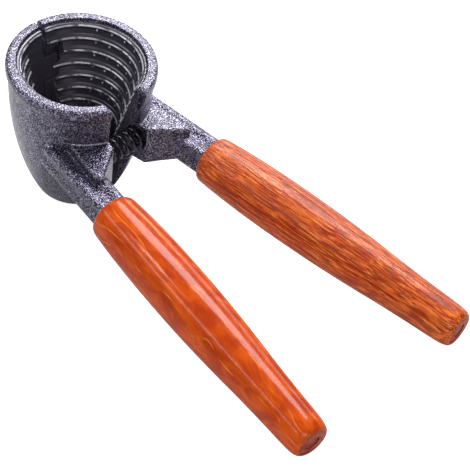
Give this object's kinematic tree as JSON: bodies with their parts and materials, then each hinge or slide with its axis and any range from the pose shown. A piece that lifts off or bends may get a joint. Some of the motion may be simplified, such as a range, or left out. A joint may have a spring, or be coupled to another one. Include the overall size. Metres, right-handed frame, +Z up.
{
  "type": "nutcracker",
  "caption": "Hand nutcracker: a ribbed cup split into two hinged jaws, held open by a coil spring, with a turned wooden grip on each arm.",
  "frame": {"origin": "middle of the bounding box at table level, with the tool standing on the cup's foot and both grip ends", "axes": "+Z up from the table, +X along the tool from the cup to the grips, -Y the front jaw and +Y the rear jaw. The cup's axis and the hinge's axis lean towards +X by the angle at which the tool rests."},
  "size_m": [0.193, 0.0864, 0.0702],
  "materials": {
    "jaw_paint": "glossy dark grey hammered paint with a silver vein",
    "pin_steel": "plain turned steel",
    "spring_steel": "black oiled spring wire",
    "front_wood": "orange-brown stained hardwood under gloss lacquer, soft blotchy figure",
    "rear_wood": "orange-brown stained hardwood under gloss lacquer, straight grain",
    "plug_wood": "end grain under lacquer",
    "screw_steel": "zinc plated"
  },
  "bodies": {
    "front_half": {"front_jaw": "jaw_paint", "front_grip": "front_wood", "front_grip_screw": "screw_steel", "front_grip_plug": "plug_wood", "return_spring": "spring_steel"},
    "rear_half": {"rear_jaw": "jaw_paint", "rear_grip": "rear_wood", "rear_grip_screw": "screw_steel", "rear_grip_plug": "plug_wood", "hinge_pin": "pin_steel"}
  },
  "joints": [
    {"name": "jaw_hinge", "type": "hinge", "parent": "front_half", "child": "rear_half", "pos_m": [-0.08787, 0, 0.05331], "axis": [0.2072, 0, 0.9783], "range_deg": [-15.6, 0], "stiffness_Nm_per_rad": 6, "springref_deg": 1.72, "deforming": ["return_spring"]}
  ]
}
